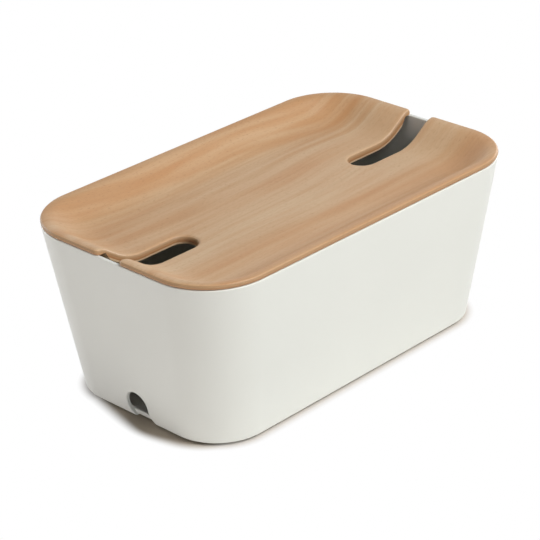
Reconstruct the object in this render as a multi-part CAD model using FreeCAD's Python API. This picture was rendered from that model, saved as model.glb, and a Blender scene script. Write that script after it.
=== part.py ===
import FreeCAD, Part

import math
import os

from FreeCAD import Vector

# Cable management box: a moulded tub that stands on four feet, and a loose lid of form-pressed
# veneer with a tray-shaped top. Cables leave through a slot at each end of the lid and through an
# outlet low in each end wall. Lengths are in millimetres and angles in degrees.
# X runs along the box, Y across it and Z up. The origin is on the table, under the middle.

# Tub, outside. The walls lean in towards the base by the same draft all round.
rim_length = 305.0
rim_width = 185.2
rim_corner_radius = 50.8
tub_height = 120.6
draft = 8.2
base_edge_radius = 1.5
rim_bevel = 0.6

# Tub, inside
wall = 2.8
floor = 3.0
floor_corner_bevel = 3.0

# Cable outlets: a round hole low in each end wall. Its circle dips under the bottom edge.
outlet_radius = 9.75
outlet_dip = 0.45

# Feet: round pads in shallow seats under the floor
foot_radius = 6.0
foot_standoff = 1.5
foot_seat_depth = 0.6
foot_seat_clearance = 0.1
foot_bevel = 0.4
foot_inset = 25.0

# Lid: a sheet of pressed veneers, milled to a flat ledge where it lies on the rim. Its edges are
# eased, and a narrow flat is left between the edge and the slope of the tray.
lid_thickness = 5.7
lip_height = 3.8
lip_flat = 1.0
tray_depth = 14.7
tray_border = 39.0
lid_play = 4.2
step_angle = 58.0
lid_top_bevel = 1.2
lid_low_bevel = 0.6

# The slope of the tray is an S: an arc over the lip, a short straight and an arc into the floor
straight_share = 0.08
lip_arc_share = 0.25

# Lid slots: open through the ends, round inside, their corners eased at the mouth
slot_width = 19.0
slot_length = 76.0
slot_mouth_radius = 3.5

# How far a cutting shape runs past what it cuts, and how close counts as the same place
overrun = 2.0
same_place = 0.001

quarter_turn = 90.0
origin = Vector(0, 0, 0)
lengthwise = Vector(1, 0, 0)
up = Vector(0, 0, 1)

tub_base_z = foot_standoff
rim_z = tub_base_z + tub_height
base_inset = tub_height * math.tan(math.radians(draft))
base_length = rim_length - 2 * base_inset
base_width = rim_width - 2 * base_inset
ledge_width = wall + lid_play
lip_width = lid_top_bevel + lip_flat
slope_width = tray_border - lip_width
lip_z = rim_z + lip_height
tray_floor_z = lip_z - tray_depth


def line(start, end):
    return Part.LineSegment(start, end).toShape()


def arc(start, middle, end):
    return Part.Arc(start, middle, end).toShape()


def on_circle(centre, radius, angle):
    turn = math.radians(angle)
    return centre + Vector(radius * math.cos(turn), radius * math.sin(turn), 0)


# The centres of the rim's four round corners, anticlockwise from +X +Y
def corner_centres(z):
    x, y = rim_length / 2 - rim_corner_radius, rim_width / 2 - rim_corner_radius
    return [Vector(x, y, z), Vector(-x, y, z), Vector(-x, -y, z), Vector(x, -y, z)]


# The rim's outline moved in by an inset, at one height: a rectangle with round corners
def outline(inset, z):
    centres = corner_centres(z)
    radius = rim_corner_radius - inset
    edges = []
    for corner, centre in enumerate(centres):
        angle = quarter_turn * corner
        start, middle, end = [
            on_circle(centre, radius, angle + step) for step in (0, quarter_turn / 2, quarter_turn)
        ]
        following = on_circle(centres[(corner + 1) % 4], radius, angle + quarter_turn)
        edges += [arc(start, middle, end), line(end, following)]
    return Part.Wire(edges)


# The tub's outline at a height above its base, moved in by an inset
def tub_outline(height, inset):
    drawn_in = (tub_height - height) * math.tan(math.radians(draft))
    return outline(drawn_in + inset, tub_base_z + height)


# Edges that lie flat at one height
def level_edges(shape, z):
    found = []
    for edge in shape.Edges:
        box = edge.BoundBox
        if abs(box.ZMin - z) < same_place and abs(box.ZMax - z) < same_place:
            found.append(edge)
    return found


# A prism through the +X end wall: the round outlet, and the throat that opens it downwards. On
# one side the hole runs on to a pointed lip that holds a cable in, on the other it flares out.
def outlet_cutter():
    height = outlet_radius - outlet_dip
    lip_y = math.sqrt(outlet_radius**2 - height**2)
    throat_y = -outlet_radius - height
    diagonal = math.sqrt(0.5)

    def at(y, above_base):
        return Vector(0, y, tub_base_z + above_base)

    side = at(-outlet_radius, height)
    hole_middle = at(outlet_radius * diagonal, height + outlet_radius * diagonal)
    throat_middle = at(throat_y + height * diagonal, height * (1 - diagonal))
    edges = [
        arc(at(lip_y, 0), hole_middle, side),
        arc(side, throat_middle, at(throat_y, 0)),
        line(at(throat_y, 0), at(throat_y, -overrun)),
        line(at(throat_y, -overrun), at(lip_y, -overrun)),
        line(at(lip_y, -overrun), at(lip_y, 0)),
    ]
    floor_end = base_length / 2 - wall
    inner_x = floor_end - floor_corner_bevel
    prism = Part.Face(Part.Wire(edges)).extrude(lengthwise * (rim_length / 2 - inner_x + overrun))
    prism.translate(lengthwise * inner_x)
    kept_floor = Part.makeBox(floor_end, base_width, floor + overrun)
    kept_floor.translate(Vector(0, -base_width / 2, tub_base_z - overrun))
    return prism.cut(kept_floor)


def foot_places():
    x, y = base_length / 2 - foot_inset, base_width / 2 - foot_inset
    return {
        "foot_right_back": Vector(x, y, 0),
        "foot_left_back": Vector(-x, y, 0),
        "foot_left_front": Vector(-x, -y, 0),
        "foot_right_front": Vector(x, -y, 0),
    }


def make_tub():
    block = Part.makeLoft([tub_outline(0, 0), tub_outline(tub_height, 0)], True, True)
    block = block.makeFillet(base_edge_radius, level_edges(block, tub_base_z))
    cavity = Part.makeLoft(
        [tub_outline(floor, wall), tub_outline(tub_height + overrun, wall)], True, True
    )
    cavity = cavity.makeChamfer(floor_corner_bevel, level_edges(cavity, tub_base_z + floor))
    tub = block.cut(cavity)
    tub = tub.makeChamfer(rim_bevel, level_edges(tub, rim_z))
    outlet = outlet_cutter()
    tub = tub.cut(outlet).cut(outlet.mirror(origin, lengthwise))
    for place in foot_places().values():
        seat = Part.makeCylinder(
            foot_radius + foot_seat_clearance,
            foot_seat_depth + overrun,
            place + up * (tub_base_z - overrun),
        )
        tub = tub.cut(seat)
    return tub


def make_foot(place):
    foot = Part.makeCylinder(foot_radius, foot_standoff + foot_seat_depth, place)
    return foot.makeChamfer(foot_bevel, level_edges(foot, 0))


# The slope of the tray, moved down by an offset, as points (distance in from the outline, height).
# It leaves the lip's flat level, turns down over an arc and runs level into the floor.
def tray_curve(offset):
    arcs_sum = (slope_width**2 + tray_depth**2) / (2 * tray_depth) * (1 - straight_share)
    lip_arc = arcs_sum * lip_arc_share
    cove_arc = arcs_sum - lip_arc
    rise = arcs_sum - tray_depth
    slope = math.asin(arcs_sum / math.hypot(slope_width, rise)) - math.atan2(rise, slope_width)

    def over_lip(angle):
        radius = lip_arc - offset
        return lip_width + radius * math.sin(angle), lip_z - lip_arc + radius * math.cos(angle)

    def into_floor(angle):
        radius = cove_arc + offset
        inward = tray_border - radius * math.sin(angle)
        return inward, tray_floor_z + cove_arc - radius * math.cos(angle)

    lip = [over_lip(0), over_lip(slope / 2), over_lip(slope)]
    cove = [into_floor(slope), into_floor(slope / 2), into_floor(0)]
    return lip, cove


# The border of the lid in section, between the tray's top and its underside, less what is milled
# off below: all that lies lower than the rim outside the step, and a bevel on the outer edge.
# place(inward, z) puts a point of the section in space.
def border_section(place):
    lip, cove = [[place(*point) for point in part] for part in tray_curve(0)]
    low_lip, low_cove = [[place(*point) for point in part] for part in tray_curve(lid_thickness)]
    top_edge, low_edge = place(0, lip_z), place(0, lip_z - lid_thickness)
    sheet = [
        line(top_edge, lip[0]),
        arc(*lip),
        line(lip[-1], cove[0]),
        arc(*cove),
        line(cove[-1], low_cove[-1]),
        arc(*reversed(low_cove)),
        line(low_cove[0], low_lip[-1]),
        arc(*reversed(low_lip)),
        line(low_lip[0], low_edge),
        line(low_edge, top_edge),
    ]
    depth = tray_depth + lid_thickness
    step_run = depth / math.tan(math.radians(step_angle))
    milled = [
        place(-overrun, rim_z + lid_low_bevel + overrun),
        place(lid_low_bevel, rim_z),
        place(ledge_width, rim_z),
        place(ledge_width + step_run, rim_z - depth),
        place(-overrun, rim_z - depth),
    ]
    milled_face = Part.Face(Part.makePolygon(milled + milled[:1]))
    return Part.Face(Part.Wire(sheet)).cut(milled_face).Faces[0]


# The border swept round the rim's outline, fused with the flat floor inside it
def make_sheet():
    centres = corner_centres(0)
    floor_low_z = tray_floor_z - lid_thickness
    pieces = [Part.Face(outline(tray_border, floor_low_z)).extrude(up * lid_thickness)]
    for corner, centre in enumerate(centres):
        start_angle = quarter_turn * corner
        end_angle = start_angle + quarter_turn

        def place_at(angle):
            return lambda inward, z: on_circle(centre, rim_corner_radius - inward, angle) + up * z

        pieces.append(border_section(place_at(start_angle)).revolve(centre, up, quarter_turn))
        run = centres[(corner + 1) % 4] - centre
        pieces.append(border_section(place_at(end_angle)).extrude(run))
    return pieces[0].fuse(pieces[1:]).removeSplitter()


# A prism through the +X end of the lid, round at its inner end and flared at its mouth
def slot_cutter():
    half = slot_width / 2
    end_x = rim_length / 2
    inner_x = end_x - slot_length
    diagonal = math.sqrt(0.5)
    z = tray_floor_z - lid_thickness - overrun
    flare_x = end_x - slot_mouth_radius
    flare_middle = slot_mouth_radius * (1 - diagonal)

    def flare(side):
        return [
            Vector(flare_x, side * half, z),
            Vector(flare_x + slot_mouth_radius * diagonal, side * (half + flare_middle), z),
            Vector(end_x, side * (half + slot_mouth_radius), z),
            Vector(end_x + overrun, side * (half + slot_mouth_radius), z),
        ]

    front, back = flare(-1), flare(1)
    inner = [Vector(inner_x + half, -half, z), Vector(inner_x, 0, z), Vector(inner_x + half, half, z)]
    edges = [
        arc(*inner),
        line(inner[-1], back[0]),
        arc(*back[:3]),
        line(back[2], back[3]),
        line(back[3], front[3]),
        line(front[3], front[2]),
        arc(*reversed(front[:3])),
        line(front[0], inner[0]),
    ]
    return Part.Face(Part.Wire(edges)).extrude(up * (lip_z + overrun - z))


# Edges where an upright wall meets a surface that faces up
def wall_tops(shape):
    found = []
    for edge in shape.Edges:
        middle = edge.valueAt((edge.FirstParameter + edge.LastParameter) / 2)
        slopes = []
        for face in shape.ancestorsOfType(edge, Part.Face):
            slopes.append(face.normalAt(*face.Surface.parameter(middle)).z)
        upright = any(abs(slope) < same_place for slope in slopes)
        if upright and max(slopes) > math.sqrt(0.5):
            found.append(edge)
    return found


def make_lid():
    slot = slot_cutter()
    lid = make_sheet().cut(slot).cut(slot.mirror(origin, lengthwise)).removeSplitter()
    return lid.makeChamfer(lid_top_bevel, wall_tops(lid))


def main():
    os.makedirs("parts", exist_ok=True)
    nodes = {"tub": make_tub()}
    for name, place in foot_places().items():
        nodes[name] = make_foot(place)
    nodes["lid"] = make_lid()
    for name, shape in nodes.items():
        print(name, len(shape.Solids), "solid", round(shape.Volume), "mm3", shape.isValid())
        shape.exportStep(f"parts/{name}.step")


main()
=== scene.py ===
import math

import bmesh
import bpy
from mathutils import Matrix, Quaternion, Vector
from mathutils.geometry import delaunay_2d_cdt


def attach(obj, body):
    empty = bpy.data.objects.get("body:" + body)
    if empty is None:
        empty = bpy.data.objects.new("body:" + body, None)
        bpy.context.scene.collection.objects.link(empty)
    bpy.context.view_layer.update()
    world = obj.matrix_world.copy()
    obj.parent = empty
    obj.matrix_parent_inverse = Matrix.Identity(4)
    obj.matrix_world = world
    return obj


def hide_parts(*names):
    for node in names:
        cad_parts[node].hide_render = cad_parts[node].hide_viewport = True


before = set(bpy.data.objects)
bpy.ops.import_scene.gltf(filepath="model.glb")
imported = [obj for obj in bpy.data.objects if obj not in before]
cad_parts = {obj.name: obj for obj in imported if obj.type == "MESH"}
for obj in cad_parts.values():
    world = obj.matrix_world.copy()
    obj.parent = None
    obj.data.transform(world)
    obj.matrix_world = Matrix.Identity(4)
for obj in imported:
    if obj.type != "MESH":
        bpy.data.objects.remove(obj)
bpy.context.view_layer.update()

mm = 0.001  # sizes are written in millimetres, Blender works in metres
scene = bpy.context.scene


def linear(hexColour):
    channels = [int(hexColour[i : i + 2], 16) / 255 for i in (1, 3, 5)]
    return [c / 12.92 if c <= 0.04045 else ((c + 0.055) / 1.055) ** 2.4 for c in channels] + [1]


def addNode(owner, kind, inputs=None, **settings):
    tree = owner.node_tree
    node = tree.nodes.new("ShaderNode" + kind)
    for name, value in settings.items():
        setattr(node, name, value)
    for name, value in (inputs or {}).items():
        if isinstance(value, bpy.types.NodeSocket):
            tree.links.new(value, node.inputs[name])
        else:
            node.inputs[name].default_value = value
    return node


def newMaterial(name):
    material = bpy.data.materials.new(name)
    material.use_nodes = True
    material.node_tree.nodes.clear()
    return material


def finishMaterial(material, shader):
    addNode(material, "OutputMaterial", {"Surface": shader.outputs[0]})
    return material


# 1 for rays that show a surface itself, straight or by way of a gloss or glass, else 0
def showingRays(owner):
    rays = addNode(owner, "LightPath").outputs
    showing = rays["Is Camera Ray"]
    for kind in ("Is Glossy Ray", "Is Transmission Ray"):
        showing = addNode(owner, "Math", {0: showing, 1: rays[kind]}, operation="MAXIMUM").outputs[0]
    return showing


# Walks round a closed plan. A bend is (centre x, centre y, radius, first angle, last angle) in
# degrees; one that turns clockwise is hollow. Gives (point, outward normal) pairs, with the
# straight runs between bends divided too, also at the x values in marks where there is room.
def walkPlan(bends, spacing, marks=(), leastGap=0.2):
    placed = []
    for x, y, radius, first, last in bends:
        steps = max(3, math.ceil(radius * math.radians(abs(last - first)) / spacing))
        side = 1 if last > first else -1
        for i in range(steps + 1):
            angle = math.radians(first + (last - first) * i / steps)
            out = Vector((math.cos(angle), math.sin(angle)))
            placed.append((Vector((x, y)) + out * radius, out * side))
    walked = []
    for (start, normal), (end, _) in zip(placed, placed[1:] + placed[:1]):
        run = end - start
        if run.length < 1e-6:
            continue
        stops, count = {0.0}, round(run.length / spacing)
        if count > 1:
            stops |= {i / count for i in range(1, count)}
            if abs(run.x) > spacing:
                stops |= {(x - start.x) / run.x for x in marks}
        kept = []
        for stop in sorted(s for s in stops if 0 <= s < 1 - 1e-6):
            if not kept or (stop - kept[-1]) * run.length > leastGap:
                kept.append(stop)
        walked += [(start + run * stop, normal) for stop in kept]
    return walked


# Rounds the corners of an open section. Each corner is (across, up, radius).
def softened(corners, steps=6):
    points = [Vector(corners[0][:2])]
    for before, corner, after in zip(corners, corners[1:], corners[2:]):
        here, radius = Vector(corner[:2]), corner[2]
        back = (Vector(before[:2]) - here).normalized()
        on = (Vector(after[:2]) - here).normalized()
        if radius == 0:
            points.append(here)
            continue
        half = back.angle(on) / 2
        centre = here + (back + on).normalized() * radius / math.sin(half)
        first = here + back * radius / math.tan(half) - centre
        last = here + on * radius / math.tan(half) - centre
        turn = first.angle_signed(last)
        for i in range(steps + 1):
            cos, sin = math.cos(-turn * i / steps), math.sin(-turn * i / steps)
            points.append(centre + Vector((first.x * cos - first.y * sin, first.x * sin + first.y * cos)))
    return points + [Vector(corners[-1][:2])]


def newPiece(name, bm, material, body=None, replaced=None):
    bmesh.ops.recalc_face_normals(bm, faces=bm.faces)
    mesh = bpy.data.meshes.new(name)
    bm.to_mesh(mesh)
    bm.free()
    mesh.shade_smooth()
    piece = bpy.data.objects.new(name, mesh)
    scene.collection.objects.link(piece)
    for one in material if isinstance(material, list) else [material]:
        mesh.materials.append(one)
    if body:
        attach(piece, body)
        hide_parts(replaced)
    return piece


def bakeModifiers(piece):
    graph = bpy.context.evaluated_depsgraph_get()
    mesh = bpy.data.meshes.new_from_object(piece.evaluated_get(graph))
    piece.modifiers.clear()
    piece.data = mesh


# Sharp corners stay sharp, and a flat face beside a rounded edge is shaded flat
def flattenShading(piece):
    piece.data.set_sharp_from_angle(angle=math.radians(35))
    piece.modifiers.new("normals", "WEIGHTED_NORMAL").keep_sharp = True


# ABS, injection moulded against a fine spark texture: a soft satin sheen without sharp
# reflections, and hardly any colour change over the walls.
def makeTubPlastic():
    settings = dict(
        colour="#e4e6e1",
        cloudy="#e0e2dd",
        cloud=70,
        cloudSpan=(0.3, 0.7),
        grain=1.1,
        relief=0.02,
        bumpStrength=0.35,
        roughness=(0.38, 0.46),
        ior=1.54,
    )
    material = newMaterial("ABS moulded satin white")
    place = addNode(material, "TexCoord").outputs["Object"]
    scale = 1 / (settings["cloud"] * mm)
    clouds = addNode(material, "TexNoise", {"Vector": place, "Scale": scale, "Detail": 2})
    colour = addNode(
        material,
        "Mix",
        {"Factor": clouds.outputs["Fac"], 6: linear(settings["colour"]), 7: linear(settings["cloudy"])},
        data_type="RGBA",
    )
    roughness = addNode(
        material,
        "MapRange",
        {
            "Value": clouds.outputs["Fac"],
            "From Min": settings["cloudSpan"][0],
            "From Max": settings["cloudSpan"][1],
            "To Min": settings["roughness"][0],
            "To Max": settings["roughness"][1],
        },
    )
    # the real texture is about 0.1 mm; drawn 1.1 mm wide, so that it shows in the render
    scale = 1 / (settings["grain"] * mm)
    grain = addNode(material, "TexNoise", {"Vector": place, "Scale": scale, "Detail": 3})
    bump = addNode(
        material,
        "Bump",
        {
            "Height": grain.outputs["Fac"],
            "Strength": settings["bumpStrength"],
            "Distance": settings["relief"] * mm,
        },
    )
    shader = addNode(
        material,
        "BsdfPrincipled",
        {
            "Base Color": colour.outputs[2],
            "Roughness": roughness.outputs["Result"],
            "IOR": settings["ior"],
            "Normal": bump.outputs["Normal"],
        },
    )
    return finishMaterial(material, shader)


# Thermoplastic rubber, moulded and matt: dull grey pads that catch no highlight.
def makeFootRubber():
    settings = dict(
        colour="#8c8c89",
        dusty="#a3a3a0",
        dust=2.0,
        relief=0.05,
        bumpStrength=0.4,
        roughness=0.75,
        ior=1.5,
    )
    material = newMaterial("Rubber moulded matt")
    place = addNode(material, "TexCoord").outputs["Object"]
    dust = addNode(material, "TexNoise", {"Vector": place, "Scale": 1 / (settings["dust"] * mm), "Detail": 4})
    colour = addNode(
        material,
        "Mix",
        {"Factor": dust.outputs["Fac"], 6: linear(settings["colour"]), 7: linear(settings["dusty"])},
        data_type="RGBA",
    )
    bump = addNode(
        material,
        "Bump",
        {
            "Height": dust.outputs["Fac"],
            "Strength": settings["bumpStrength"],
            "Distance": settings["relief"] * mm,
        },
    )
    shader = addNode(
        material,
        "BsdfPrincipled",
        {
            "Base Color": colour.outputs[2],
            "Roughness": settings["roughness"],
            "IOR": settings["ior"],
            "Normal": bump.outputs["Normal"],
        },
    )
    return finishMaterial(material, shader)


# Beech, sliced veneer pressed to shape, sanded and oiled: broad warm bands and soft mottling along
# the length, faint fine streaks, short dark flecks, and a low satin sheen.
def makeFaceVeneer():
    settings = dict(
        colour="#cdb08d",
        heart="#b5824f",
        warmSides=[dict(start=25, end=90, most=0.72), dict(start=-15, end=-90, most=0.6)],
        # breaks the warm sides up into streaks that reach so far inwards or outwards
        warmStreaks=dict(length=120, width=9, detail=2, span=(0.3, 0.7), reach=34, shift=5.6),
        # each layer of the figure, with its length and width in millimetres
        figure={
            "bands": dict(
                colour="#bf8a58", length=380, width=26, detail=2, span=(0.38, 0.66), most=0.45, shift=9.2
            ),
            "mottle": dict(
                colour="#b67c47", length=85, width=7.5, detail=3, span=(0.46, 0.72), most=0.34, shift=3
            ),
            "streaks": dict(
                colour="#b0855c", length=130, width=2.2, detail=4, span=(0.48, 0.78), most=0.32, shift=5
            ),
            "flecks": dict(
                colour="#9c7048", length=3.2, width=0.45, detail=2, span=(0.57, 0.72), most=0.55, shift=7
            ),
        },
        wanderLength=240,
        wanderWidth=150,
        wander=45,
        relief=0.04,
        bumpStrength=0.4,
        roughness=(0.44, 0.6),
        ior=1.5,
    )
    material = newMaterial("Beech sliced veneer oiled")
    place = addNode(material, "TexCoord").outputs["Object"]
    # the figure wanders sideways over the length of the sheet
    waves = (1 / (settings["wanderLength"] * mm), 1 / (settings["wanderWidth"] * mm), 0)
    wander = addNode(material, "Mapping", {"Vector": place, "Scale": waves})
    drift = addNode(material, "TexNoise", {"Vector": wander.outputs["Vector"], "Scale": 1, "Detail": 1})
    inputs = {0: drift.outputs["Color"], 1: (0.5, 0.5, 0.5)}
    centred = addNode(material, "VectorMath", inputs, operation="SUBTRACT")
    inputs = {0: centred.outputs[0], 1: (0, settings["wander"] * mm, 0)}
    shift = addNode(material, "VectorMath", inputs, operation="MULTIPLY")
    bent = addNode(material, "VectorMath", {0: place, 1: shift.outputs[0]}, operation="ADD")

    # noise drawn out along the sheet, in millimetres
    def drawnOut(layer):
        stretched = addNode(
            material,
            "Mapping",
            {
                "Vector": bent.outputs[0],
                "Location": (layer["shift"], layer["shift"], layer["shift"]),
                "Scale": (1 / (layer["length"] * mm), 1 / (layer["width"] * mm), 0),
            },
        )
        inputs = {"Vector": stretched.outputs["Vector"], "Scale": 1, "Detail": layer["detail"]}
        return addNode(material, "TexNoise", inputs).outputs["Fac"]

    # the sheet is warmer towards its long edges
    streaks = settings["warmStreaks"]
    ragged = addNode(
        material,
        "MapRange",
        {
            "Value": drawnOut(streaks),
            "From Min": streaks["span"][0],
            "From Max": streaks["span"][1],
            "To Min": -streaks["reach"] * mm,
            "To Max": streaks["reach"] * mm,
        },
    )
    across = addNode(material, "SeparateXYZ", {"Vector": bent.outputs[0]}).outputs["Y"]
    across = addNode(material, "Math", {0: across, 1: ragged.outputs["Result"]}, operation="ADD").outputs[0]
    colour, amounts = linear(settings["colour"]), {}
    for side in settings["warmSides"]:
        amount = addNode(
            material,
            "MapRange",
            {
                "Value": across,
                "From Min": side["start"] * mm,
                "From Max": side["end"] * mm,
                "To Max": side["most"],
            },
        )
        inputs = {"Factor": amount.outputs["Result"], 6: colour, 7: linear(settings["heart"])}
        colour = addNode(material, "Mix", inputs, data_type="RGBA").outputs[2]
    for name, layer in settings["figure"].items():
        amount = addNode(
            material,
            "MapRange",
            {
                "Value": drawnOut(layer),
                "From Min": layer["span"][0],
                "From Max": layer["span"][1],
                "To Max": layer["most"],
            },
        )
        amounts[name] = amount.outputs["Result"]
        inputs = {"Factor": amounts[name], 6: colour, 7: linear(layer["colour"])}
        colour = addNode(material, "Mix", inputs, data_type="RGBA").outputs[2]
    depth = addNode(material, "Math", {0: amounts["flecks"], 1: amounts["streaks"]}, operation="ADD")
    bump = addNode(
        material,
        "Bump",
        {
            "Height": depth.outputs[0],
            "Strength": settings["bumpStrength"],
            "Distance": settings["relief"] * mm,
        },
        invert=True,
    )
    roughness = addNode(
        material,
        "MapRange",
        {
            "Value": depth.outputs[0],
            "To Min": settings["roughness"][0],
            "To Max": settings["roughness"][1],
        },
    )
    shader = addNode(
        material,
        "BsdfPrincipled",
        {
            "Base Color": colour,
            "Roughness": roughness.outputs["Result"],
            "IOR": settings["ior"],
            "Normal": bump.outputs["Normal"],
        },
    )
    return finishMaterial(material, shader)


# Beech plies glued and pressed, cut through and sanded: faint lines that follow the sheet, the
# crosswise plies darker because their ends drink more oil, and a pale veneer on the back.
# The face veneer over the rounded top edge is drawn darker than on the top: painted shade that tones down the
# rounding's highlight.
def makeVeneerEdge():
    settings = dict(
        along="#c4936a",
        across="#b58256",
        glue="#a87850",
        # face: painted shade, the face veneer's colour over the rounded top edge, darker than on the top
        face="#a8855f",
        faceSpan=(0.3, 0.6),
        back="#dcbd98",
        plies=5,
        glueShare=0.1,
        backShare=0.26,
        fibreWidth=1.6,
        fibreHeight=0.35,
        speckleSpan=(0.5, 0.75),
        speckleMost=0.3,
        relief=0.05,
        bumpStrength=0.3,
        roughness=0.55,
        ior=1.5,
    )
    material = newMaterial("Beech plies sanded edge")
    place = addNode(material, "TexCoord").outputs["Object"]
    # the share of the sheet's thickness that lies above a point
    depth = addNode(material, "Attribute", attribute_name="plyDepth").outputs["Fac"]
    layer = addNode(material, "Math", {0: depth, 1: settings["plies"]}, operation="MULTIPLY")
    pair = addNode(material, "Math", {0: layer.outputs[0], 1: 2}, operation="MODULO")
    crosswise = addNode(material, "Math", {0: pair.outputs[0], 1: 1}, operation="GREATER_THAN")
    within = addNode(material, "Math", {0: layer.outputs[0], 1: 1}, operation="MODULO")
    inputs = {0: within.outputs[0], 1: 1 - settings["glueShare"]}
    glueLine = addNode(material, "Math", inputs, operation="GREATER_THAN")
    backVeneer = addNode(material, "Math", {0: depth, 1: 1 - settings["backShare"]}, operation="GREATER_THAN")
    # the real fibres are finer than 0.1 mm; drawn coarser, so that they show in the render
    across, upward = 1 / (settings["fibreWidth"] * mm), 1 / (settings["fibreHeight"] * mm)
    fibres = addNode(material, "Mapping", {"Vector": place, "Scale": (across, across, upward)})
    fibre = addNode(material, "TexNoise", {"Vector": fibres.outputs["Vector"], "Scale": 1, "Detail": 3})
    speckle = addNode(
        material,
        "MapRange",
        {
            "Value": fibre.outputs["Fac"],
            "From Min": settings["speckleSpan"][0],
            "From Max": settings["speckleSpan"][1],
            "To Max": settings["speckleMost"],
        },
    )
    faceVeneer = addNode(
        material,
        "MapRange",
        {
            "Value": depth,
            "From Min": settings["faceSpan"][0],
            "From Max": settings["faceSpan"][1],
            "To Min": 1,
            "To Max": 0,
        },
    )
    colour = linear(settings["along"])
    for name, amount in (
        ("across", crosswise.outputs[0]),
        ("glue", glueLine.outputs[0]),
        ("face", faceVeneer.outputs["Result"]),
        ("back", backVeneer.outputs[0]),
        ("glue", speckle.outputs["Result"]),
    ):
        inputs = {"Factor": amount, 6: colour, 7: linear(settings[name])}
        colour = addNode(material, "Mix", inputs, data_type="RGBA").outputs[2]
    bump = addNode(
        material,
        "Bump",
        {
            "Height": fibre.outputs["Fac"],
            "Strength": settings["bumpStrength"],
            "Distance": settings["relief"] * mm,
        },
        invert=True,
    )
    shader = addNode(
        material,
        "BsdfPrincipled",
        {
            "Base Color": colour,
            "Roughness": settings["roughness"],
            "IOR": settings["ior"],
            "Normal": bump.outputs["Normal"],
        },
    )
    return finishMaterial(material, shader)


tubPlastic, footRubber = makeTubPlastic(), makeFootRubber()
faceVeneer, veneerEdge = makeFaceVeneer(), makeVeneerEdge()
print("materials made")

tub = dict(
    rimHalfLength=152.5,
    rimHalfWidth=92.6,
    rimHeight=122.1,
    rimRadius=45.2,
    baseHalfLength=135.1214,
    baseHeight=1.5,
    baseRadius=36.8,
    wall=2.8,
    floor=3.0,
    baseEdge=1.5,
    rimEdge=0.8,
    floorEdge=4.0,
    cornerSteps=28,
    underInset=8,  # how far in from the walls the flat faces under and on the floor begin
    floorInset=10,
)
outlet = dict(
    radius=9.75,
    dip=0.45,
    flare=9.9,
    firstAngle=-78,
    edge=1.2,
    edgeSteps=5,
    floorEdge=0.7,
    steps=48,
    # how far the cutters run past what they cut
    past=6,
    skim=0.02,
    flarePast=0.3,
    leg=4,
    lowest=-1,
    # the floor between the outlets that the cutters leave
    keptLength=14,
    keptLip=3,
    keptLowest=-3,
    keptAcross=(-30, 20),
)
lean = (tub["rimHalfLength"] - tub["baseHalfLength"]) / (tub["rimHeight"] - tub["baseHeight"])
widthLess = tub["rimHalfLength"] - tub["rimHalfWidth"]


def wallAt(height):
    return tub["baseHalfLength"] + lean * (height - tub["baseHeight"])


# Joins rings of points, given in millimetres, to a closed block
def joinRings(bm, rings):
    made = [[bm.verts.new(Vector(point) * mm) for point in ring] for ring in rings]
    for low, high in zip(made, made[1:]):
        for i in range(len(low)):
            bm.faces.new((low[i - 1], low[i], high[i], high[i - 1]))
    bm.faces.new(made[0])
    bm.faces.new(made[-1])


# Sweeps a section round a rectangle with round corners. Each point of it is (half length, height);
# the half width is less by a fixed amount, and radiusAt gives the corners' radius.
def sweepSection(bm, section, less, radiusAt, steps):
    rings = []
    for half, up in section:
        ring, radius = [], radiusAt(half, up)
        for quarter, (x, y) in enumerate(((1, 1), (-1, 1), (-1, -1), (1, -1))):
            for i in range(steps + 1):
                angle = math.radians(90 * (quarter + i / steps))
                across = x * (half - radius) + radius * math.cos(angle)
                along = y * (half - less - radius) + radius * math.sin(angle)
                ring.append((across, along, up))
        rings.append(ring)
    joinRings(bm, rings)


def cutAway(piece, cutter):
    cut = piece.modifiers.new("cut", "BOOLEAN")
    cut.operation, cut.solver, cut.object = "DIFFERENCE", "EXACT", cutter
    bakeModifiers(piece)
    bpy.data.objects.remove(cutter)


# The outlet seen from its end of the box, grown outward by so much: a round hole that dips under
# the base, with a throat that curves away to one side of it.
def outletOutline(grow):
    radius, flare, first = outlet["radius"], outlet["flare"], outlet["firstAngle"]
    reach = radius - outlet["dip"]
    middle = tub["baseHeight"] + reach
    points = []
    for i in range(outlet["steps"] + 1):
        angle = math.radians(first + (180 - first) * i / outlet["steps"])
        points.append(((radius + grow) * math.cos(angle), middle + (radius + grow) * math.sin(angle)))
    last = math.asin((reach + outlet["flarePast"]) / flare)
    for i in range(1, outlet["steps"] // 2 + 1):
        angle = last * i / (outlet["steps"] // 2)
        across = -radius - flare + (flare - grow) * math.cos(angle)
        points.append((across, middle - (flare - grow) * math.sin(angle)))
    leg, lowest = outlet["leg"], outlet["lowest"]
    points.append((points[-1][0] - leg * math.sin(last), points[-1][1] - leg * math.cos(last)))
    return points + [(points[-1][0], lowest), (points[0][0], lowest)]


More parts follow.
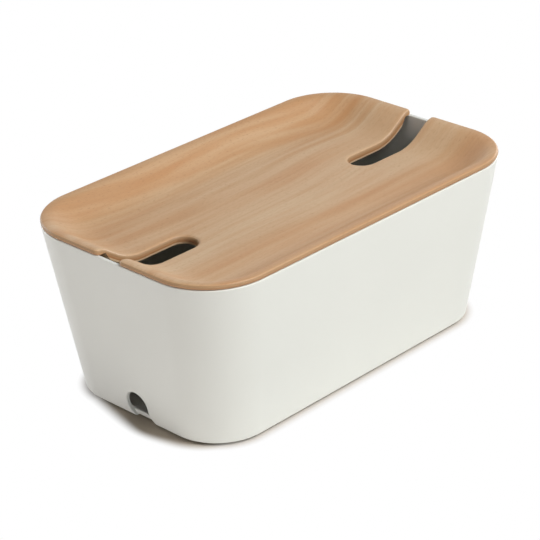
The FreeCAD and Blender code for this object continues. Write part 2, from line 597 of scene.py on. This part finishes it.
# What the outlets take from the tub: their edges are rounded outside, and the floor runs on
# between them to the inside of the end walls.
def makeOutletCutter():
    edge, steps = outlet["edge"], outlet["edgeSteps"]
    turns = [math.pi / 2 * i / steps for i in range(steps + 1)]
    # (depth into the wall, growth); the rounded edge starts just off the wall's face
    rings = [(-outlet["past"], edge)]
    rings += [(edge * (1 - math.cos(t)) - outlet["skim"], edge * (1 - math.sin(t))) for t in turns]
    rings.append((tub["wall"] + outlet["past"], 0))
    floorTop, floorEnd = tub["baseHeight"] + tub["floor"], tub["baseHalfLength"] - tub["wall"]
    keptStart, lipEnd = floorEnd - outlet["keptLength"], floorEnd - outlet["keptLip"]
    floorSection = softened(
        [
            (keptStart, floorTop, 0),
            (floorEnd, floorTop, outlet["floorEdge"]),
            (floorEnd, tub["baseHeight"], outlet["floorEdge"]),
            (lipEnd, tub["baseHeight"], 0),
            (lipEnd, outlet["keptLowest"], 0),
            (keptStart, outlet["keptLowest"], 0),
        ]
    )
    cut, kept = bmesh.new(), bmesh.new()
    for side in (1, -1):
        outlines = []
        for depth, grow in rings:
            outlines.append([(side * (wallAt(z) - depth), y, z) for y, z in outletOutline(grow)])
        joinRings(cut, outlines)
        joinRings(kept, [[(side * x, y, z) for x, z in floorSection] for y in outlet["keptAcross"]])
    cutter = newPiece("outletCutter", cut, tubPlastic)
    cutAway(cutter, newPiece("keptFloor", kept, tubPlastic))
    return cutter


def makeTub():
    floorTop = tub["baseHeight"] + tub["floor"]
    innerBase = wallAt(floorTop) - tub["wall"]
    section = softened(
        [
            (tub["baseHalfLength"] - tub["underInset"], tub["baseHeight"], 0),
            (tub["baseHalfLength"], tub["baseHeight"], tub["baseEdge"]),
            (tub["rimHalfLength"], tub["rimHeight"], tub["rimEdge"]),
            (tub["rimHalfLength"] - tub["wall"], tub["rimHeight"], tub["rimEdge"]),
            (innerBase, floorTop, tub["floorEdge"]),
            (innerBase - tub["floorInset"], floorTop, 0),
        ]
    )

    # the corners turn tighter towards the base, but less than the walls draw in
    def radiusAt(half, up):
        share = (up - tub["baseHeight"]) / (tub["rimHeight"] - tub["baseHeight"])
        outer = tub["baseRadius"] + (tub["rimRadius"] - tub["baseRadius"]) * share
        return outer - (wallAt(up) - half)

    bm = bmesh.new()
    sweepSection(bm, section, widthLess, radiusAt, tub["cornerSteps"])
    piece = newPiece("tubShell", bm, tubPlastic, "tub", "tub")
    cutAway(piece, makeOutletCutter())
    flattenShading(piece)


makeTub()
print("tub made")

foot = dict(
    x=110.121,
    y=50.221,
    radius=6.0,
    standoff=1.5,
    seated=0.6,
    edge=0.5,
    topEdge=0.2,
    core=1.0,  # radius of the flat faces in the middle
    dimple=2.2,
    dimpleDepth=0.25,
    dimpleSlope=0.4,
    dimpleEdge=0.2,
    steps=16,
)


def makeFeet():
    top, dimple, dimpleSlope = foot["standoff"] + foot["seated"], foot["dimple"], foot["dimpleSlope"]
    section = softened(
        [
            (foot["core"], foot["dimpleDepth"], 0),
            (dimple, foot["dimpleDepth"], dimpleSlope),
            (dimple + dimpleSlope, 0, foot["dimpleEdge"]),
            (foot["radius"], 0, foot["edge"]),
            (foot["radius"], top, foot["topEdge"]),
            (foot["core"], top, 0),
        ]
    )
    for x, y, node in (
        (1, 1, "foot_right_back"),
        (-1, 1, "foot_left_back"),
        (-1, -1, "foot_left_front"),
        (1, -1, "foot_right_front"),
    ):
        bm = bmesh.new()
        sweepSection(bm, section, 0, lambda half, up: half, foot["steps"])
        bmesh.ops.remove_doubles(bm, verts=bm.verts, dist=1e-6)
        bmesh.ops.translate(bm, verts=bm.verts, vec=(x * foot["x"] * mm, y * foot["y"] * mm, 0))
        name = "pad" + node[4:].title().replace("_", "")
        flattenShading(newPiece(name, bm, footRubber, "tub", node))


makeFeet()
print("feet made")

lid = dict(
    halfLength=152.5,
    halfWidth=92.6,
    cornerRadius=45.2,
    thickness=5.7,
    lipTop=125.9,
    land=2.2,
    border=39.0,
    depth=14.7,
    straightShare=0.08,
    lipShare=0.25,
    ledgeWidth=7.0,
    ledgeHeight=122.1,
    stepAngle=58.0,
    slotHalf=9.5,
    slotEnd=87.5,
    mouthRadius=3.5,
    rimTopEdge=2.0,
    rimLowEdge=1.2,
    slotTopEdge=3.0,
    slotLowEdge=0.4,
    reveal=0.5,
    revealWidth=2.0,
    edgeSteps=8,
    bareSteps=5,  # how many of them show the plies
    spacing=1.5,
    clearShare=0.6,  # the inner points stay this share of the spacing off the slots' edges
    # how far in from the outline the rings of points lie, and how far past the border's end
    topRings=dict(first=3.0, step=1.25, count=29, past=(0, 1.5, 4)),
    lowRings=dict(first=(3.5, 5.0), step=1.8, count=16, past=(0, 2, 4)),
)
width = lid["border"] - lid["land"]
arcs = (width**2 + lid["depth"] ** 2) / (2 * lid["depth"]) * (1 - lid["straightShare"])
lipArc, coveArc = arcs * lid["lipShare"], arcs * (1 - lid["lipShare"])
slope = math.asin(arcs / math.hypot(width, arcs - lid["depth"])) - math.atan2(arcs - lid["depth"], width)


# Height of the pressed sheet at a distance in from the outline, so far below its top face
def sheetHeight(inward, below):
    lipRadius, coveRadius = lipArc - below, coveArc + below
    lipRun, coveRun = inward - lid["land"], lid["border"] - inward
    floorTop = lid["lipTop"] - lid["depth"]
    if lipRun <= 0:
        return lid["lipTop"] - below
    if coveRun <= 0:
        return floorTop - below
    if lipRun < lipRadius * math.sin(slope):
        return lid["lipTop"] - lipArc + math.sqrt(lipRadius**2 - lipRun**2)
    if coveRun < coveRadius * math.sin(slope):
        return floorTop + coveArc - math.sqrt(coveRadius**2 - coveRun**2)
    start = lid["lipTop"] - lipArc + lipRadius * math.cos(slope)
    return start - (lipRun - lipRadius * math.sin(slope)) * math.tan(slope)


# The underside: the sheet's lower face, milled to a ledge that sits on the tub's rim and is eased
# at its outer edge, where it shows as a fine dark line
def underHeight(inward):
    step = lid["ledgeHeight"] - max(inward - lid["ledgeWidth"], 0) * math.tan(math.radians(lid["stepAngle"]))
    eased = lid["reveal"] * max(1 - inward / lid["revealWidth"], 0)
    return max(sheetHeight(inward, lid["thickness"]), step) + eased


def inwardAt(point):
    x = abs(point.x) - lid["halfLength"] + lid["cornerRadius"]
    y = abs(point.y) - lid["halfWidth"] + lid["cornerRadius"]
    outside = math.hypot(max(x, 0), max(y, 0)) + min(max(x, y), 0)
    return lid["cornerRadius"] - outside


def borderBends(inset):
    x, y = lid["halfLength"] - lid["cornerRadius"], lid["halfWidth"] - lid["cornerRadius"]
    radius, signs = lid["cornerRadius"] - inset, ((1, -1), (1, 1), (-1, 1), (-1, -1))
    return [(i * x, j * y, radius, 90 * k - 90, 90 * k) for k, (i, j) in enumerate(signs)]


def lidBends():
    corners = borderBends(0)
    half, mouth = lid["slotHalf"], lid["mouthRadius"]
    mouthX, mouthY = lid["halfLength"] - mouth, half + mouth
    rightSlot = [
        (mouthX, -mouthY, mouth, 0, 90),
        (lid["slotEnd"], 0, half, -90, -270),
        (mouthX, mouthY, mouth, -90, 0),
    ]
    leftSlot = [
        (-mouthX, mouthY, mouth, 180, 270),
        (-lid["slotEnd"], 0, half, 90, -90),
        (-mouthX, -mouthY, mouth, 90, 180),
    ]
    return corners[:1] + rightSlot + corners[1:3] + leftSlot + corners[3:]


def makeLid():
    # where the milled step runs out into the sheet's lower face, to a hundredth of a millimetre
    stepEnd = lid["ledgeWidth"]
    while underHeight(stepEnd) > sheetHeight(stepEnd, lid["thickness"]) + 1e-3:
        stepEnd += 0.01
    marks = [side * (lid["halfLength"] - inset) for side in (-1, 1) for inset in (lid["ledgeWidth"], stepEnd)]
    outline = walkPlan(lidBends(), lid["spacing"], marks)
    bm = bmesh.new()
    plyDepth = bm.verts.layers.float.new("plyDepth")

    def vertex(point, z):
        inward = inwardAt(point)
        top = sheetHeight(inward, 0)
        made = bm.verts.new((point.x * mm, point.y * mm, z * mm))
        full = top - sheetHeight(inward, lid["thickness"])
        made[plyDepth] = (top - z) / full
        return made

    # one face of the sheet: rings that round its edge, then points on the border's rings
    def skin(heightAt, edgeAt, side, insets):
        rings = []
        for k in range(lid["edgeSteps"] + 1):
            angle, ring = math.pi / 2 * k / lid["edgeSteps"], []
            for point, normal in outline:
                radius = edgeAt(inwardAt(point))
                moved = point - normal * radius * (1 - math.cos(angle))
                ring.append(vertex(moved, heightAt(inwardAt(moved)) - side * radius * (1 - math.sin(angle))))
            rings.append(ring)
        flat, inner = [Vector(v.co.xy) / mm for v in rings[-1]], list(rings[-1])
        clear = edgeAt(lid["border"]) + lid["spacing"] * lid["clearShare"]
        for inset in insets:
            for point, _ in walkPlan(borderBends(inset), lid["spacing"]):
                slotGap = math.hypot(max(lid["slotEnd"] - abs(point.x), 0), point.y) - lid["slotHalf"]
                if slotGap > clear:
                    flat.append(point)
                    inner.append(vertex(point, heightAt(inset)))
        loop = list(range(len(rings[-1])))
        _, _, faces, origins, _, _ = delaunay_2d_cdt(flat, [], [loop], 1, 1e-5)
        made = [bm.faces.new([inner[origins[i][0]] for i in face]) for face in faces]
        for low, high in zip(rings, rings[1:]):
            for i in range(len(low)):
                made.append(bm.faces.new((low[i - 1], low[i], high[i], high[i - 1])))
        return rings, made

    # the rounding of the sheet's edge differs between the rim and the slots
    def rounding(atRim, inSlot):
        return lambda inward: atRim + (inSlot - atRim) * min(inward / lid["mouthRadius"], 1)

    topEdgeAt = rounding(lid["rimTopEdge"], lid["slotTopEdge"])
    lowEdgeAt = rounding(lid["rimLowEdge"], lid["slotLowEdge"])
    plan = lid["topRings"]
    insets = [plan["first"] + plan["step"] * i for i in range(plan["count"])]
    insets += [lid["border"] + past for past in plan["past"]]
    topRings, topFaces = skin(lambda inward: sheetHeight(inward, 0), topEdgeAt, 1, insets)
    plan = lid["lowRings"]
    insets = {lid["revealWidth"], *plan["first"], lid["ledgeWidth"]}
    insets |= {stepEnd + plan["step"] * i for i in range(plan["count"] + 1)}
    insets |= {lid["border"] + past for past in plan["past"]}
    insets = sorted(inset for inset in insets if inset <= lid["border"] + plan["past"][-1])
    lowRings, lowFaces = skin(underHeight, lowEdgeAt, -1, insets)
    for i in range(len(outline)):
        face = bm.faces.new((topRings[0][i - 1], topRings[0][i], lowRings[0][i], lowRings[0][i - 1]))
        face.material_index = 1
    edgeVertices = {v for ring in topRings[: lid["bareSteps"]] for v in ring}
    edgeVertices |= {v for ring in lowRings[:-1] for v in ring}
    for face in topFaces + lowFaces:
        if sum(v in edgeVertices for v in face.verts) >= 3:
            face.material_index = 1
    newPiece("lidSheet", bm, [faceVeneer, veneerEdge], "lid", "lid")


makeLid()
print("lid made")

# the floor seen near the tub's base takes a darker colour, painted shade over the real shadow, and fades into
# plain white between two distances from the base, which draw in by a share of the way from the place where
# the shadow is widest
stage = dict(
    size=8.0,
    # shaded: painted shade, the darker colour that camera and reflection rays see on the floor near the base
    shaded="#b8ac9c",
    bounce="#eceae6",
    shadowFrom=8,
    shadowTo=20,
    widest=(-140, -13),
    drawShare=0.24,
    drawMost=13,
)


# Light paper, matt: it keeps the real shadow at the box's foot, deepened there by a darker painted shade
# colour, and is plain white further out.
def makeStage():
    material = newMaterial("Paper matt with painted shade")
    showing, radius = showingRays(material), tub["baseRadius"]
    straight = ((tub["baseHalfLength"] - radius) * mm, (tub["baseHalfLength"] - widthLess - radius) * mm, 0)
    place = addNode(material, "TexCoord").outputs["Object"]
    widest = (stage["widest"][0] * mm, stage["widest"][1] * mm, 0)
    apart = addNode(material, "VectorMath", {0: place, 1: widest}, operation="DISTANCE")
    drawn = addNode(
        material,
        "MapRange",
        {
            "Value": apart.outputs["Value"],
            "From Max": stage["drawMost"] / stage["drawShare"] * mm,
            "To Max": stage["drawMost"] * mm,
        },
    )
    # how far a place is from the middles of the base's corners, and 0 between them
    away = addNode(material, "VectorMath", {0: place}, operation="ABSOLUTE")
    away = addNode(material, "VectorMath", {0: away.outputs[0], 1: straight}, operation="SUBTRACT")
    away = addNode(material, "VectorMath", {0: away.outputs[0], 1: (0, 0, 0)}, operation="MAXIMUM")
    away = addNode(material, "VectorMath", {0: away.outputs[0]}, operation="LENGTH")
    away = addNode(material, "Math", {0: away.outputs["Value"], 1: drawn.outputs["Result"]}, operation="ADD")
    beyond = addNode(
        material,
        "MapRange",
        {
            "Value": away.outputs[0],
            "From Min": (radius + stage["shadowFrom"]) * mm,
            "From Max": (radius + stage["shadowTo"]) * mm,
        },
        interpolation_type="SMOOTHSTEP",
    )
    plain = addNode(material, "Math", {0: showing, 1: beyond.outputs[0]}, operation="MULTIPLY")
    # camera and reflection rays see the darker painted shade colour, other rays the pale bounce colour
    colour = addNode(
        material,
        "Mix",
        {"Factor": showing, 6: linear(stage["bounce"]), 7: linear(stage["shaded"])},
        data_type="RGBA",
    )
    lit = addNode(material, "BsdfDiffuse", {"Color": colour.outputs[2]})
    white = addNode(material, "Emission", {"Strength": 1})
    shader = addNode(material, "MixShader", {0: plain.outputs[0], 1: lit.outputs[0], 2: white.outputs[0]})
    finishMaterial(material, shader)
    bm = bmesh.new()
    bmesh.ops.create_grid(bm, x_segments=1, y_segments=1, size=stage["size"] / 2)
    newPiece("floor", bm, material)


makeStage()
print("floor made")

studio = dict(
    ambient=0.11,
    aim=(0, 0, 0.06),
    lamps={
        "top": dict(place=(0.32, -1.15, 1.65), size=0.9, power=34.3, colour="#fffefc"),
        "front": dict(place=(-1.3, -2.5, 0.15), size=0.7, power=11.6, colour="#fbfdff"),
        "left": dict(place=(-2.2, -0.25, 0.1), size=0.5, power=12, colour="#fff3ee"),
        "right": dict(place=(2.4, 0.2, 0.3), size=1.0, power=18, colour="#fdfdff"),
        "back": dict(place=(-0.5, 2.7, 0.15), size=1.0, power=42, colour="#fdfdff"),
    },
)
world = bpy.data.worlds.new("studio")
world.use_nodes = True
world.node_tree.nodes.clear()
strength = addNode(world, "MapRange", {"Value": showingRays(world), "To Min": studio["ambient"], "To Max": 1})
sky = addNode(world, "Background", {"Color": (1, 1, 1, 1), "Strength": strength.outputs["Result"]})
addNode(world, "OutputWorld", {"Surface": sky.outputs[0]})
scene.world = world
for name, lamp in studio["lamps"].items():
    light = bpy.data.lights.new(name, "AREA")
    light.shape, light.size, light.energy = "DISK", lamp["size"], lamp["power"]
    light.color = linear(lamp["colour"])[:3]
    holder = bpy.data.objects.new(name, light)
    holder.location = lamp["place"]
    aim = Vector(studio["aim"]) - Vector(lamp["place"])
    holder.rotation_euler = aim.to_track_quat("-Z", "Y").to_euler()
    scene.collection.objects.link(holder)
print("light made")

view = dict(
    azimuth=-45.278,
    elevation=26.442,
    roll=-2.114,
    distance=1.41489,
    lens=137.84,
    aim=(-0.00553, 0.00271, 0.05893),
)
azimuth, elevation = math.radians(view["azimuth"]), math.radians(view["elevation"])
outward = Vector(
    (
        math.sin(azimuth) * math.cos(elevation),
        -math.cos(azimuth) * math.cos(elevation),
        math.sin(elevation),
    )
)
camera = bpy.data.objects.new("camera", bpy.data.cameras.new("camera"))
camera.data.lens = view["lens"]
camera.location = Vector(view["aim"]) + outward * view["distance"]
camera.rotation_mode = "QUATERNION"
roll = Quaternion((0, 0, 1), math.radians(view["roll"]))
camera.rotation_quaternion = (-outward).to_track_quat("-Z", "Y") @ roll
scene.collection.objects.link(camera)
scene.camera = camera
scene.view_settings.view_transform = "Standard"
print("camera made")
